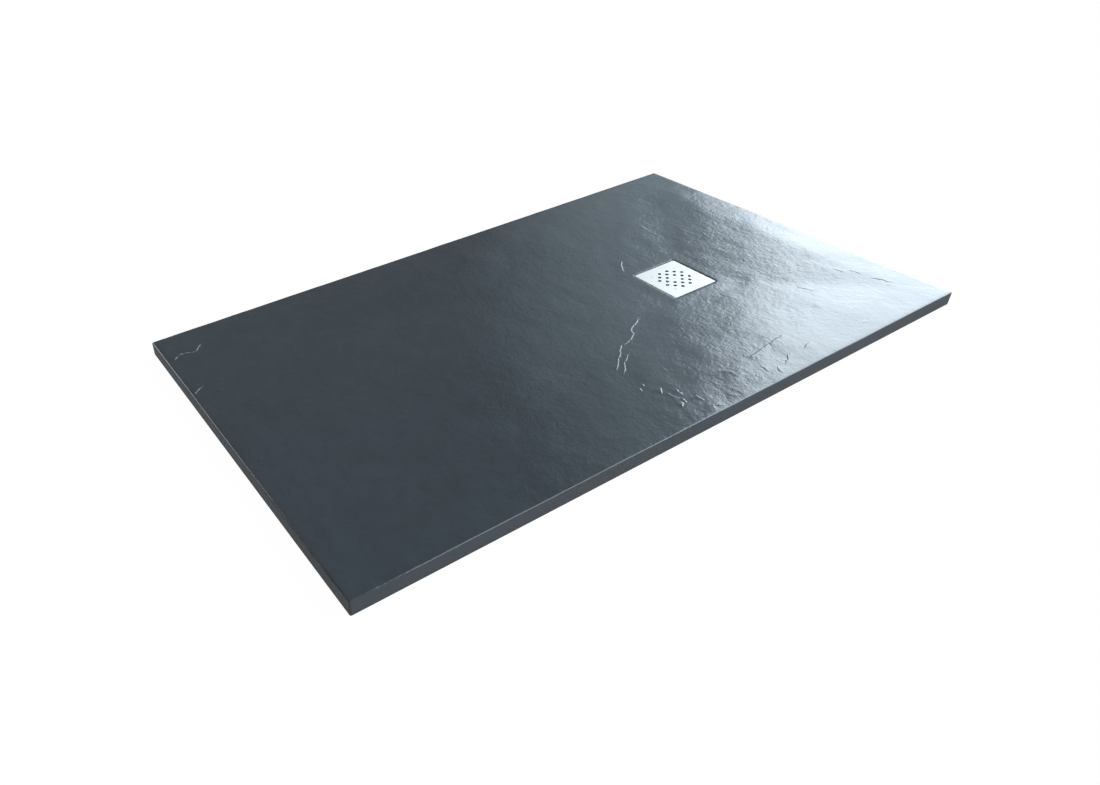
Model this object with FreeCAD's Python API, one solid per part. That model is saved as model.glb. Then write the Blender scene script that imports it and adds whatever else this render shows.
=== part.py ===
import FreeCAD, Part
import math
import os

Vector = FreeCAD.Vector

# A slate-faced shower tray cast in one piece, with a lift-out steel grille over a
# floor trap. Lengths are in millimetres. The origin is the middle of the tray's
# underside, +X runs along the long side towards the waste, +Z is up.
# Heights are called levels and are measured from the underside.

# ---- tray ----
tray_length = 1400.0
tray_width = 800.0
tray_thickness = 30.0
corner_round = 3.0
arris_round = 2.0
foot_bevel = 1.0
rim_width = 70.0
dish_fall = 9.0
waste_to_end = 378.0
waste_off_middle = 25.0
waste_hole_radius = 45.0

# ---- grille, square, standing in a recess of the dish ----
grille_thickness = 2.0
grille_corner_round = 2.0
grille_gap = 2.0
grille_below_dish = 0.5
recess_depth = 5.0
recess_corner_round = 3.0
recess_margin = 3.0
hole_radius = 3.75
hole_pitch = 15.5
hole_rings = 2
foot_pin_radius = 2.0
foot_pad_radius = 4.5
foot_pad_floor = 0.8
centre_pin_radius = 2.5
centre_pin_length = 8.5

# ---- clamp flange, which pinches the tray between two gaskets ----
flange_overlap = 11.0
flange_thickness = 3.0
flange_gap = 2.0
gasket_thickness = 1.5
gasket_inset = 1.0
collar_wall = 3.0
insert_seat_drop = 8.0
ledge_thickness = 2.0
ledge_reach = 2.2
strainer_seat_step = 2.0
strainer_seat_depth = 2.0

# ---- flange screws, threaded into brass inserts in the trap ----
screw_count = 4
screw_to_hole_gap = 0.7
screw_radius = 2.5
screw_length = 25.0
screw_head_radius = 4.6
screw_drive_width = 1.2
screw_drive_reach = 2.4
screw_drive_depth = 1.6
screw_hole_clearance = 0.3
brass_radius = 3.2
brass_length = 9.0
brass_to_throat = 0.1
boss_wall = 2.0
boss_floor = 1.5

# ---- trap body ----
rim_overlap = 13.0
rim_thickness = 3.5
rebate_gap = 4.0
throat_clearance = 0.5
throat_wall = 2.0
throat_overhang = 2.0
pot_water_width = 19.0
pot_wall = 3.0
pot_corner_round = 6.0
pot_floor_gap = 3.0

# ---- round seals ----
cord_radius = 1.0
groove_play = 0.2
cord_squeeze_gap = 0.05
moving_gap = 0.3

# ---- lift-out insert: a dip tube standing in a cup of water ----
water_seal = 50.0
overflow_gap = 7.0
dip_tube_wall = 2.0
dip_flange_gap = 0.5
dip_flange_thickness = 4.0
grip_bar_width = 5.0
cup_lift_gap = 0.8
cup_water_width = 6.2
cup_wall = 1.8
cup_floor = 2.0
cup_turn_gap = 8.0
cup_post_count = 3
cup_post_width = 8.0

# ---- hair strainer ----
strainer_rim_gap = 0.4
strainer_rim_thickness = 1.2
strainer_side_gap = 2.0
strainer_wall = 1.5
strainer_depth = 10.0
strainer_floor = 1.5
strainer_hub_radius = 6.0
strainer_hub_top_gap = 1.0
strainer_hole_radius = 2.0
strainer_hole_pitch = 6.4
strainer_hole_rows = 3

# ---- swivelling outlet, a ball held in a sleeve by a union nut ----
spigot_bore_radius = 19.0
spigot_wall = 3.0
spigot_length = 9.0
sleeve_back_wall = 3.0
sleeve_bore_radius = 27.5
sleeve_wall = 3.5
sleeve_past_ball = 5.0
ball_radius = 25.0
ball_back_cut = 12.0
seat_reach = 16.0
seal_ring_length = 8.0
slip_ring_length = 5.0
nut_clearance = 0.3
nut_wall = 3.2
nut_overlap = 15.0
nut_lip = 3.0
nut_lip_radius = 24.5
nut_rib_count = 16
nut_rib_height = 1.5
nut_rib_width = 3.0
nut_below_tray = 4.0
tail_bore_radius = 17.5
tail_wall = 3.0
tail_neck_length = 26.0
tail_shoulder = 4.0
pipe_stop = 2.0
pipe_socket_radius = 20.1
pipe_socket_depth = 30.0
pipe_socket_wall = 3.5

# ---- places worked out from the sizes above ----
waste_x = tray_length / 2 - waste_to_end
waste_y = -waste_off_middle
flange_radius = waste_hole_radius + flange_overlap
rim_radius = waste_hole_radius + rim_overlap
screw_circle_radius = waste_hole_radius - screw_to_hole_gap - screw_radius
foot_circle_radius = (hole_rings + 1) * hole_pitch

dish_level = tray_thickness - dish_fall
recess_level = dish_level - recess_depth
gasket_top_level = recess_level - flange_thickness
seat_level = gasket_top_level - gasket_thickness
recess_side = 2 * (flange_radius + flange_gap + recess_margin)
grille_side = recess_side - 2 * grille_gap

grille_top_level = dish_level - grille_below_dish
grille_under_level = grille_top_level - grille_thickness

throat_outer_radius = screw_circle_radius - brass_radius - brass_to_throat
throat_bore_radius = throat_outer_radius - throat_wall
collar_outer_radius = throat_bore_radius - throat_clearance
collar_bore_radius = collar_outer_radius - collar_wall
ledge_opening_radius = collar_bore_radius - ledge_reach
insert_seat_level = -insert_seat_drop
collar_end_level = insert_seat_level - ledge_thickness
throat_end_level = collar_end_level - throat_overhang
groove_width = 2 * (cord_radius + groove_play)

cup_rim_level = throat_end_level - overflow_gap
dip_end_level = cup_rim_level - water_seal
cup_floor_level = dip_end_level - cup_turn_gap
cup_under_level = cup_floor_level - cup_floor
cup_radius = ledge_opening_radius - cup_lift_gap
dip_tube_radius = cup_radius - cup_wall - cup_water_width
dip_flange_radius = collar_bore_radius - dip_flange_gap
pot_floor_level = cup_under_level - pot_floor_gap
pot_under_level = pot_floor_level - pot_wall
pot_radius = cup_radius + pot_water_width
pot_outer_radius = pot_radius + pot_wall

strainer_radius = collar_bore_radius - strainer_side_gap
strainer_seat_radius = collar_bore_radius + strainer_seat_step
strainer_seat_level = recess_level - strainer_seat_depth
strainer_under_level = strainer_seat_level - strainer_depth

sleeve_outer_radius = sleeve_bore_radius + sleeve_wall
nut_bore_radius = sleeve_outer_radius + nut_clearance
nut_radius = nut_bore_radius + nut_wall
outlet_level = -(nut_radius + nut_rib_height + nut_below_tray)
ball_seat_radius = ball_radius + moving_gap
ball_x = pot_outer_radius + spigot_length + sleeve_back_wall + seat_reach
tail_neck_radius = tail_bore_radius + tail_wall
socket_start = tail_neck_length + tail_shoulder + pipe_stop
socket_end = socket_start + pipe_socket_depth
socket_outer_radius = pipe_socket_radius + pipe_socket_wall


# ---- helpers ----
def rod(radius, low, high, x=0.0, y=0.0):
    """Upright cylinder between two levels."""
    return Part.makeCylinder(radius, high - low, Vector(x, y, low))


def ring(outer, inner, low, high, x=0.0, y=0.0):
    """Upright tube between two levels."""
    return rod(outer, low, high, x, y).cut(rod(inner, low, high, x, y))


def block(size_x, size_y, low, high, x=0.0, y=0.0):
    """Upright box between two levels, centred on a point."""
    corner = Vector(x - size_x / 2, y - size_y / 2, low)
    return Part.makeBox(size_x, size_y, high - low, corner)


def upright_edges(shape):
    return [edge for edge in shape.Edges if abs(edge.tangentAt(edge.FirstParameter).z) > 0.99]


def edges_at(shape, level):
    return [
        edge for edge in shape.Edges
        if all(abs(vertex.Z - level) < 1e-6 for vertex in edge.Vertexes)
    ]


def rounded_block(size_x, size_y, low, high, radius, x=0.0, y=0.0):
    """Upright box with its four upright edges rounded."""
    box = block(size_x, size_y, low, high, x, y)
    return box.makeFillet(radius, upright_edges(box))


def spots(count, radius, first_angle=0.0):
    """Points evenly spaced on a circle round the waste axis."""
    for index in range(count):
        angle = math.radians(first_angle + 360.0 * index / count)
        yield radius * math.cos(angle), radius * math.sin(angle)


def cord_ring(radius, level):
    """Round seal ring; the radius is that of its cord's centre line."""
    section = cord_radius - cord_squeeze_gap
    return Part.makeTorus(radius, section, Vector(0, 0, level), Vector(0, 0, 1))


def outlet_rod(radius, start, end):
    """Cylinder along +X on the outlet's axis, measured from the ball's centre."""
    return Part.makeCylinder(
        radius, end - start, Vector(ball_x + start, 0, outlet_level), Vector(1, 0, 0)
    )


def outlet_ring(outer, inner, start, end):
    return outlet_rod(outer, start, end).cut(outlet_rod(inner, start, end))


def ball(radius):
    return Part.makeSphere(radius, Vector(ball_x, 0, outlet_level))


def join(shapes):
    """Fuse a list of solids and drop the seams between them."""
    whole = shapes[0].fuse(shapes[1:]) if len(shapes) > 1 else shapes[0]
    return whole.removeSplitter()


# ---- tray ----
def dish_space():
    """Space above the four falls, from the flat rim down to the recess."""
    half_x = tray_length / 2 - rim_width
    half_y = tray_width / 2 - rim_width
    half_recess = recess_side / 2
    turns = ((-1, -1), (1, -1), (1, 1), (-1, 1))
    top = [Vector(sx * half_x, sy * half_y, tray_thickness) for sx, sy in turns]
    low = [
        Vector(waste_x + sx * half_recess, waste_y + sy * half_recess, dish_level)
        for sx, sy in turns
    ]
    faces = [Part.Face(Part.makePolygon(loop + loop[:1])) for loop in (top, low)]
    for index in range(4):
        following = (index + 1) % 4
        loop = [top[index], top[following], low[following], low[index]]
        faces.append(Part.Face(Part.makePolygon(loop + loop[:1])))
    return Part.Solid(Part.Shell(faces))


def make_tray():
    slab = rounded_block(tray_length, tray_width, 0, tray_thickness, corner_round)
    slab = slab.makeFillet(arris_round, edges_at(slab, tray_thickness))
    slab = slab.makeChamfer(foot_bevel, edges_at(slab, 0))
    recess = rounded_block(
        recess_side, recess_side, recess_level, tray_thickness, recess_corner_round,
        waste_x, waste_y,
    )
    flange_seat = rod(flange_radius + flange_gap, seat_level, tray_thickness, waste_x, waste_y)
    waste_hole = rod(waste_hole_radius, 0, tray_thickness, waste_x, waste_y)
    rebate = rod(rim_radius + rebate_gap, 0, gasket_thickness, waste_x, waste_y)
    for space in (dish_space(), recess, flange_seat, waste_hole, rebate):
        slab = slab.cut(space)
    return slab


# ---- grille, which lifts out by hand ----
def grille_hole_spots():
    """Square grid turned by 45 degrees, without its corners and its centre."""
    steps = range(-hole_rings, hole_rings + 1)
    for row in steps:
        for column in steps:
            corner = abs(row) == hole_rings and abs(column) == hole_rings
            if corner or (row == 0 and column == 0):
                continue
            across = hole_pitch * (column - row) / math.sqrt(2)
            along = hole_pitch * (column + row) / math.sqrt(2)
            yield across, along


def make_grille_plate():
    plate = rounded_block(
        grille_side, grille_side, grille_under_level, grille_top_level, grille_corner_round
    )
    holes = [
        rod(hole_radius, grille_under_level, grille_top_level, x, y)
        for x, y in grille_hole_spots()
    ]
    return plate.cut(holes)


def make_grille_feet():
    """Pins welded under the plate's corners."""
    low = recess_level + foot_pad_floor
    return [
        rod(foot_pin_radius, low, grille_under_level, x, y)
        for x, y in spots(4, foot_circle_radius, 45.0)
    ]


def make_grille_pads():
    """Soft shoes on the pins, which stand on the clamp flange."""
    pads = []
    for x, y in spots(4, foot_circle_radius, 45.0):
        pad = rod(foot_pad_radius, recess_level, grille_under_level, x, y)
        bore = rod(
            foot_pin_radius + cord_squeeze_gap,
            recess_level + foot_pad_floor, grille_under_level, x, y,
        )
        pads.append(pad.cut(bore))
    return pads


def make_centre_pin():
    """Locating pin welded under the plate's middle, loose in the strainer's hub."""
    low = grille_under_level - centre_pin_length
    pin = rod(centre_pin_radius, low, grille_under_level)
    return pin.makeChamfer(centre_pin_radius / 4, edges_at(pin, low))


# ---- hair strainer, which lifts out once the grille is off ----
def strainer_hole_spots():
    """Circles of holes between the hub and the wall, each as full as the pitch allows."""
    row_width = (strainer_radius - strainer_wall - strainer_hub_radius) / strainer_hole_rows
    for row in range(strainer_hole_rows):
        radius = strainer_hub_radius + (row + 0.5) * row_width
        yield from spots(int(2 * math.pi * radius / strainer_hole_pitch), radius)


def make_hair_strainer():
    rim_top = strainer_seat_level + strainer_rim_thickness
    floor_top = strainer_under_level + strainer_floor
    rim = ring(
        strainer_seat_radius - strainer_rim_gap, strainer_radius - strainer_wall,
        strainer_seat_level, rim_top,
    )
    wall = ring(strainer_radius, strainer_radius - strainer_wall, strainer_under_level, rim_top)
    floor = rod(strainer_radius, strainer_under_level, floor_top)
    hub = rod(strainer_hub_radius, strainer_under_level, rim_top - strainer_hub_top_gap)
    basket = join([rim, wall, floor, hub])
    pin_tip = grille_under_level - centre_pin_length
    hub_bore = rod(centre_pin_radius + moving_gap, pin_tip - moving_gap, rim_top)
    holes = [
        rod(strainer_hole_radius, strainer_under_level, floor_top, x, y)
        for x, y in strainer_hole_spots()
    ]
    return basket.cut([hub_bore] + holes)


# ---- clamp flange with the collar that reaches into the trap ----
def collar_groove_level():
    return (insert_seat_level + collar_end_level) / 2 + groove_width / 2


def make_clamp_flange():
    plate = ring(flange_radius, collar_bore_radius, gasket_top_level, recess_level)
    collar = ring(collar_outer_radius, collar_bore_radius, collar_end_level, recess_level)
    ledge = ring(
        collar_outer_radius, ledge_opening_radius, collar_end_level, insert_seat_level
    )
    flange = join([plate, collar, ledge])
    strainer_seat = rod(strainer_seat_radius, strainer_seat_level, recess_level)
    groove = ring(
        collar_outer_radius + throat_clearance,
        throat_bore_radius - 2 * cord_radius,
        collar_groove_level() - groove_width / 2,
        collar_groove_level() + groove_width / 2,
    )
    cuts = [strainer_seat, groove]
    head_depth = screw_head_radius - screw_radius
    for x, y in spots(screw_count, screw_circle_radius):
        cuts.append(
            rod(screw_radius + screw_hole_clearance, gasket_top_level, recess_level, x, y)
        )
        cuts.append(
            Part.makeCone(
                screw_radius + screw_hole_clearance,
                screw_head_radius + screw_hole_clearance,
                head_depth,
                Vector(x, y, recess_level - head_depth),
            )
        )
    return flange.cut(cuts)


def make_flange_gasket():
    return ring(
        flange_radius - gasket_inset, waste_hole_radius + gasket_inset,
        seat_level, gasket_top_level,
    )


def make_body_gasket():
    return ring(rim_radius - gasket_inset, waste_hole_radius + gasket_inset, 0, gasket_thickness)


def make_throat_seal():
    return cord_ring(throat_bore_radius - cord_radius, collar_groove_level())


# ---- flange screws and the inserts that they thread into ----
def make_flange_screws():
    head_depth = screw_head_radius - screw_radius
    screws = []
    for x, y in spots(screw_count, screw_circle_radius):
        shank = rod(screw_radius, recess_level - screw_length, recess_level, x, y)
        head = Part.makeCone(
            screw_radius, screw_head_radius, head_depth, Vector(x, y, recess_level - head_depth)
        )
        screw = join([shank, head])
        for size_x, size_y in (
            (2 * screw_drive_reach, screw_drive_width),
            (screw_drive_width, 2 * screw_drive_reach),
        ):
            slot = block(size_x, size_y, recess_level - screw_drive_depth, recess_level, x, y)
            screw = screw.cut(slot)
        screws.append(screw)
    return screws


def make_screw_inserts():
    return [
        ring(brass_radius, screw_radius + cord_squeeze_gap, -brass_length, 0, x, y)
        for x, y in spots(screw_count, screw_circle_radius)
    ]


# ---- trap body ----
def make_trap_body():
    rim = rod(rim_radius, -rim_thickness, 0)
    pot = rod(pot_outer_radius, pot_under_level, 0)
    pot = pot.makeFillet(pot_corner_round, edges_at(pot, pot_under_level))
    spigot = outlet_rod(
        spigot_bore_radius + spigot_wall, pot_radius - ball_x, -seat_reach - sleeve_back_wall
    )
    sleeve = outlet_rod(sleeve_outer_radius, -seat_reach - sleeve_back_wall, sleeve_past_ball)
    outside = join([rim, pot, spigot, sleeve])

    pot_space = rod(pot_radius, pot_floor_level, -rim_thickness)
    pot_space = pot_space.makeFillet(
        pot_corner_round - pot_wall, edges_at(pot_space, pot_floor_level)
    )
    spigot_bore = outlet_rod(spigot_bore_radius, pot_radius / 2 - ball_x, -seat_reach)
    sleeve_bore = outlet_rod(sleeve_bore_radius, -seat_reach, sleeve_past_ball)
    shell = outside.cut([pot_space, spigot_bore, sleeve_bore])

    throat = rod(throat_outer_radius, throat_end_level, -rim_thickness)
    boss_end_level = -brass_length - boss_floor
    bosses = [
        rod(brass_radius + boss_wall, boss_end_level, -rim_thickness, x, y)
        for x, y in spots(screw_count, screw_circle_radius)
    ]
    body = join([shell, throat] + bosses)
    brass_holes = [
        rod(brass_radius + cord_squeeze_gap, -brass_length, 0, x, y)
        for x, y in spots(screw_count, screw_circle_radius)
    ]
    throat_bore = rod(throat_bore_radius, throat_end_level, 0)
    screw_tips = [
        rod(screw_radius + screw_hole_clearance, recess_level - screw_length, 0, x, y)
        for x, y in spots(screw_count, screw_circle_radius)
    ]
    return body.cut([throat_bore] + brass_holes + screw_tips)


# ---- insert, lifted out for cleaning ----
def dip_groove_level():
    return insert_seat_level + dip_flange_thickness / 2


def make_dip_tube():
    flange_top = insert_seat_level + dip_flange_thickness
    flange = rod(dip_flange_radius, insert_seat_level, flange_top)
    tube = rod(dip_tube_radius, dip_end_level, flange_top)
    bore = rod(dip_tube_radius - dip_tube_wall, dip_end_level, flange_top)
    groove = ring(
        dip_flange_radius,
        collar_bore_radius - moving_gap - 2 * cord_radius,
        dip_groove_level() - groove_width / 2,
        dip_groove_level() + groove_width / 2,
    )
    body = join([flange, tube]).cut([bore, groove])
    bar = block(
        2 * dip_tube_radius - dip_tube_wall, grip_bar_width, insert_seat_level, flange_top
    )
    return join([body, bar])


def make_dip_tube_seal():
    return cord_ring(collar_bore_radius - moving_gap - cord_radius, dip_groove_level())


def make_trap_cup():
    """Cup under the dip tube; its posts clip to the underside of the tube's flange."""
    outside = rod(cup_radius, cup_under_level, cup_rim_level)
    inside = rod(cup_radius - cup_wall, cup_floor_level, cup_rim_level)
    cup = outside.cut(inside)
    post_ring = ring(cup_radius, cup_radius - cup_wall, cup_rim_level, insert_seat_level)
    posts = []
    for index in range(cup_post_count):
        slab = block(
            cup_radius, cup_post_width, cup_rim_level, insert_seat_level, cup_radius / 2
        )
        angle = 360.0 * (index + 0.5) / cup_post_count
        slab.rotate(Vector(0, 0, 0), Vector(0, 0, 1), angle)
        posts.append(post_ring.common(slab))
    return join([cup] + posts)


# ---- swivelling outlet ----
def make_outlet_tail():
    """Hollow ball, neck and the socket that takes the waste pipe."""
    behind = outlet_rod(2 * ball_radius, -2 * ball_radius, -ball_back_cut)
    head = ball(ball_radius).cut(behind)
    neck = outlet_rod(tail_neck_radius, 0, tail_neck_length)
    shoulder = Part.makeCone(
        tail_neck_radius, socket_outer_radius, tail_shoulder,
        Vector(ball_x + tail_neck_length, 0, outlet_level), Vector(1, 0, 0),
    )
    socket = outlet_rod(socket_outer_radius, tail_neck_length + tail_shoulder, socket_end)
    bore = outlet_rod(tail_bore_radius, -ball_back_cut, socket_end)
    pipe_space = outlet_rod(pipe_socket_radius, socket_start, socket_end)
    return join([head, neck, shoulder, socket]).cut([bore, pipe_space])


def make_outlet_seal_ring():
    """Soft seat behind the ball."""
    length_end = -seat_reach + seal_ring_length
    seat = outlet_ring(
        sleeve_bore_radius - cord_squeeze_gap, spigot_bore_radius, -seat_reach, length_end
    )
    return seat.cut(ball(ball_seat_radius))


def make_outlet_slip_ring():
    """Hard ring that the union nut presses against the front of the ball."""
    end = sleeve_past_ball + slip_ring_length
    blank = outlet_ring(sleeve_outer_radius, tail_neck_radius, sleeve_past_ball, end)
    return blank.cut(ball(ball_seat_radius))


def make_outlet_union_nut():
    lip_start = sleeve_past_ball + slip_ring_length
    nut_start = sleeve_past_ball - nut_overlap
    nut_end = lip_start + nut_lip
    body = outlet_rod(nut_radius, nut_start, nut_end)
    ribs = []
    for index in range(nut_rib_count):
        rib = Part.makeBox(
            nut_end - nut_start, nut_rib_width, nut_wall / 2 + nut_rib_height,
            Vector(ball_x + nut_start, -nut_rib_width / 2, outlet_level + nut_radius - nut_wall / 2),
        )
        rib.rotate(
            Vector(ball_x, 0, outlet_level), Vector(1, 0, 0), 360.0 * index / nut_rib_count
        )
        ribs.append(rib)
    bore = outlet_rod(nut_bore_radius, nut_start, lip_start)
    opening = outlet_rod(nut_lip_radius, lip_start, nut_end)
    return join([body] + ribs).cut([bore, opening])


def save(name, shapes, at_waste=True):
    """Write one node, as one solid or as a group of alike solids."""
    group = shapes if isinstance(shapes, list) else [shapes]
    solids = [solid.copy() for shape in group for solid in shape.Solids]
    if at_waste:
        for solid in solids:
            solid.translate(Vector(waste_x, waste_y, 0))
    whole = solids[0] if len(solids) == 1 else Part.makeCompound(solids)
    whole.exportStep(f"parts/{name}.step")


os.makedirs("parts", exist_ok=True)
save("tray", make_tray(), at_waste=False)
save("grille_plate", make_grille_plate())
save("grille_feet", make_grille_feet())
save("grille_pads", make_grille_pads())
save("grille_centre_pin", make_centre_pin())
save("hair_strainer", make_hair_strainer())
save("clamp_flange", make_clamp_flange())
save("flange_gasket", make_flange_gasket())
save("flange_screws", make_flange_screws())
save("screw_inserts", make_screw_inserts())
save("throat_seal", make_throat_seal())
save("body_gasket", make_body_gasket())
save("trap_body", make_trap_body())
save("dip_tube", make_dip_tube())
save("dip_tube_seal", make_dip_tube_seal())
save("trap_cup", make_trap_cup())
save("outlet_tail", make_outlet_tail())
save("outlet_seal_ring", make_outlet_seal_ring())
save("outlet_slip_ring", make_outlet_slip_ring())
save("outlet_union_nut", make_outlet_union_nut())
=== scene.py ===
from collections import namedtuple
import math
import bmesh
import bpy
import numpy as np
from mathutils import Matrix, Vector, noise


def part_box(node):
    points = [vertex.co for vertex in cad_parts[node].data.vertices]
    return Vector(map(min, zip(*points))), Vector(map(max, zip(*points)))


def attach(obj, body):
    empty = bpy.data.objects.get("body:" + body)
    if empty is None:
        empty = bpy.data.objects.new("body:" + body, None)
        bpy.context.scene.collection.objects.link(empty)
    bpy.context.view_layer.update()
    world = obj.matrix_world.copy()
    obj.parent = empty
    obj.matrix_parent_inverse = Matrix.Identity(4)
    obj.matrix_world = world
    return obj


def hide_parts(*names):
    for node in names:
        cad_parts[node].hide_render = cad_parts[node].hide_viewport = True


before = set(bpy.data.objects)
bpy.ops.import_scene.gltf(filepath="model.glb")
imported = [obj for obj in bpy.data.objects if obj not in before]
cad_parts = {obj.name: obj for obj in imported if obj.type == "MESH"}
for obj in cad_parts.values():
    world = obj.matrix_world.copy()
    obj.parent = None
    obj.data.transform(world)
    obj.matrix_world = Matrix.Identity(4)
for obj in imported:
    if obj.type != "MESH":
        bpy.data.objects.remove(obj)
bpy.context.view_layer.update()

# The looks of a slate-faced shower tray with a steel grille over its trap.
# Lengths are in metres; mm turns millimetres into them.
mm = 0.001

# ---- places and sizes read from the construction ----
tray_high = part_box("tray")[1]
plate_low, plate_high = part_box("grille_plate")
flange_low, flange_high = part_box("clamp_flange")
gasket_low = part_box("flange_gasket")[0]
rim_gasket_low, rim_gasket_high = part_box("body_gasket")
pins_low, pins_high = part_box("grille_feet")

half_length = tray_high.x
half_width = tray_high.y
tray_top = tray_high.z
waste_x = (plate_low.x + plate_high.x) / 2
waste_y = (plate_low.y + plate_high.y) / 2
plate_half = (plate_high.x - plate_low.x) / 2

# ---- the tray's own sizes ----
corner_round = 3 * mm
arris_reach = 2.9 * mm
arris_drop = 5 * mm
foot_bevel = 1 * mm
rim_width = 70 * mm
dish_fall = 9 * mm
grille_gap = 2 * mm
recess_corner_round = 3 * mm
recess_edge_round = 0.8 * mm
flange_gap = 2 * mm
waste_hole_radius = 45 * mm
rebate_margin = 5 * mm

recess_half = plate_half + grille_gap
recess_floor = flange_high.z
seat_floor = gasket_low.z
seat_radius = (flange_high.x - flange_low.x) / 2 + flange_gap
rebate_radius = (rim_gasket_high.x - rim_gasket_low.x) / 2 + rebate_margin
rebate_depth = rim_gasket_high.z
dish_bottom = tray_top - dish_fall

# ---- the cast slate relief ----
face_shave = 0.75 * mm
recess_shave = 0.1 * mm
relief_fade = 40 * mm
edge_roll_from = 8.5 * mm
edge_roll_width = 5 * mm
edge_roll_drop = 0.35 * mm
fold_softness = 26
rim_softness = 34
swell_size = 120 * mm
swell_height = 0.60 * mm
ripple_size = 45 * mm
ripple_height = 0.21 * mm
bedding_size = 95 * mm
bedding_stretch = 1.6
bedding_levels = 7
bedding_step = 0.06 * mm
streak_width = 9 * mm
streak_length = 38 * mm
streak_height = 0.05 * mm
streak_turn = 57
slanting_before = -120 * mm
straight_beyond = 40 * mm
crinkle_size = 10.5 * mm
crinkle_height = 0.12 * mm
corner_crinkle = 4.0
corner_reach = 110 * mm
crinkle_bend = 7 * mm
crinkle_bend_size = 30 * mm
crinkle_stretch = 1.5
crinkle_middle = 0.35

# Each part of the relief has its own layer of the noise.
bedding_layer = 3.1
wander_layer = 7.3
straight_layer = 11.7
slanting_layer = 17.9
bend_x_layer = 23.5
bend_y_layer = 29.5
crinkle_layer = 31.3
swell_layer = 41.9
ripple_layer = 47.3
lip_highlight_layer = 53.9

# ---- the photograph's camera, fitted to the tray's corners and the grille's ----
photo_width = 1100
photo_height = 785
principal_point = 383.9
focal_pixels = 845.04
sensor_width = 36.0
eye = (-1.0141, -1.0876, 0.9279)
camera_azimuth = 60.4636
camera_height = -36.2282
camera_roll = -3.7255


def toward(azimuth, height):
    """Unit vectors ahead, to the left and up for a direction in degrees."""
    turn, lift = math.radians(azimuth), math.radians(height)
    ahead = Vector((
        math.cos(lift) * math.cos(turn), math.cos(lift) * math.sin(turn), math.sin(lift)
    ))
    aside = Vector((-math.sin(turn), math.cos(turn), 0))
    return ahead, aside, ahead.cross(aside)


def camera_axes():
    """The camera's right, up and ahead, as unit vectors."""
    ahead, aside, above = toward(camera_azimuth, camera_height)
    roll = math.radians(camera_roll)
    right = math.sin(roll) * above - math.cos(roll) * aside
    return right, math.cos(roll) * above + math.sin(roll) * aside, ahead


def on_face(picture_x, picture_y):
    """Where a point of the photo lies on the face, in whole millimetres from its middle."""
    right, up, ahead = camera_axes()
    ray = ahead + right * ((picture_x - principal_point) / focal_pixels)
    ray -= up * ((picture_y - photo_height / 2) / focal_pixels)
    reach = (cleft_level - eye[2]) / ray.z
    return round((eye[0] + reach * ray.x) / mm), round((eye[1] + reach * ray.y) / mm)


# ---- clefts: ragged lips where a thin layer of slate has come away ----
# A lip rises slowly on one side and drops sharply on the other, towards its facing.
lip_reach = 13 * mm
lip_width = 1.0 * mm
lip_wander = 0.7 * mm
lip_wander_size = 6 * mm
lip_taper_share = 0.3
lip_taper_most = 12 * mm
lip_end_past = 2 * mm
lip_cut_off = 4 * lip_reach
# Widths and patch size of the painted highlight along the first lips.
lip_highlight_width = 0.9 * mm
lip_highlight_taper = 3 * mm
lip_highlight_patch_size = 9 * mm
cleft_level = tray_top - 3 * mm
TO_FRONT_RIGHT = (1, -1)
TO_BACK_LEFT = (-1, 1)

# Each lip has its height in millimetres and points given in the photo, in
# pixels from its top left.
# The first group's lips also carry a painted highlight: a pale band in the base colour.
PAINTED_HIGHLIGHT_LIPS = (
    (0.75, ((175, 361), (180, 356), (187, 354), (192, 354), (196.75, 352), (199, 348), (201, 345))),
    (0.80, ((195, 395.5), (200, 389.75), (205, 386))),
)
LEFT_END_LIPS = (
    (0.50, ((216.5, 379), (222, 381))),
    (0.50, ((215, 393), (221, 392), (222, 388))),
    (0.50, ((261, 463), (261, 458))),
)
BESIDE_GRILLE_LIPS = (
    (0.31, ((622, 259), (621.5, 263), (623, 267), (625, 271))),
)
MIDDLE_LIPS = (
    (0.31, ((639.5, 316), (636, 321), (632, 325), (631.5, 329), (634, 332), (631, 337),
            (626, 342), (622, 343.5), (620, 349), (621, 352), (618.5, 357), (618, 364),
            (616.5, 370))),
    (0.31, ((628.5, 352), (627, 358), (624.5, 361), (625, 368), (623.5, 373.5))),
)
FRONT_LIPS = (
    (0.35, ((642, 384), (644, 386))),
    (0.31, ((639.5, 388), (642, 391))),
    (0.54, ((660.5, 388.5), (661.5, 394))),
    (0.35, ((667, 393), (671, 396), (676, 398.5), (680, 399))),
    (0.46, ((676, 389), (678, 392), (682, 395))),
    (0.62, ((681, 399), (684, 401), (686, 403))),
    (0.62, ((683, 404), (681.5, 406), (682.5, 408))),
    (0.39, ((695, 396.5), (699, 398.5), (704, 401))),
    (0.24, ((706, 405), (714, 406), (724, 406.5))),
    (0.46, ((719, 371), (726, 372), (732, 373), (741, 374), (746, 376))),
)
BACK_RIGHT_LIPS = (
    (0.24, ((640, 225), (651, 231), (663, 235))),
)
FRONT_RIGHT_LIPS = (
    (0.20, ((748, 358.5), (753, 356), (756, 354), (762, 349), (768, 345), (771, 344),
            (774, 341), (779, 338), (784, 335))),
    (0.28, ((787, 354), (788, 360), (786, 363), (786, 366))),
    (0.34, ((804, 349.5), (806, 346), (810, 343))),
    (0.26, ((797, 286), (806, 288), (812, 289.5), (825, 290))),
    (0.34, ((869, 278.5), (876.25, 279.5), (882, 280.5), (887, 282.5), (895, 283.5))),
    (0.19, ((885, 285.5), (890, 286.5), (896, 286))),
    (0.22, ((856, 323.5), (862, 322), (872, 321))),
    (0.19, ((832, 269), (840, 271.5), (849, 271), (856, 273), (862, 276))),
    (0.26, ((760, 367), (764, 369), (767, 373))),
    (0.22, ((777, 367), (779, 371), (783, 374))),
)
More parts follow.
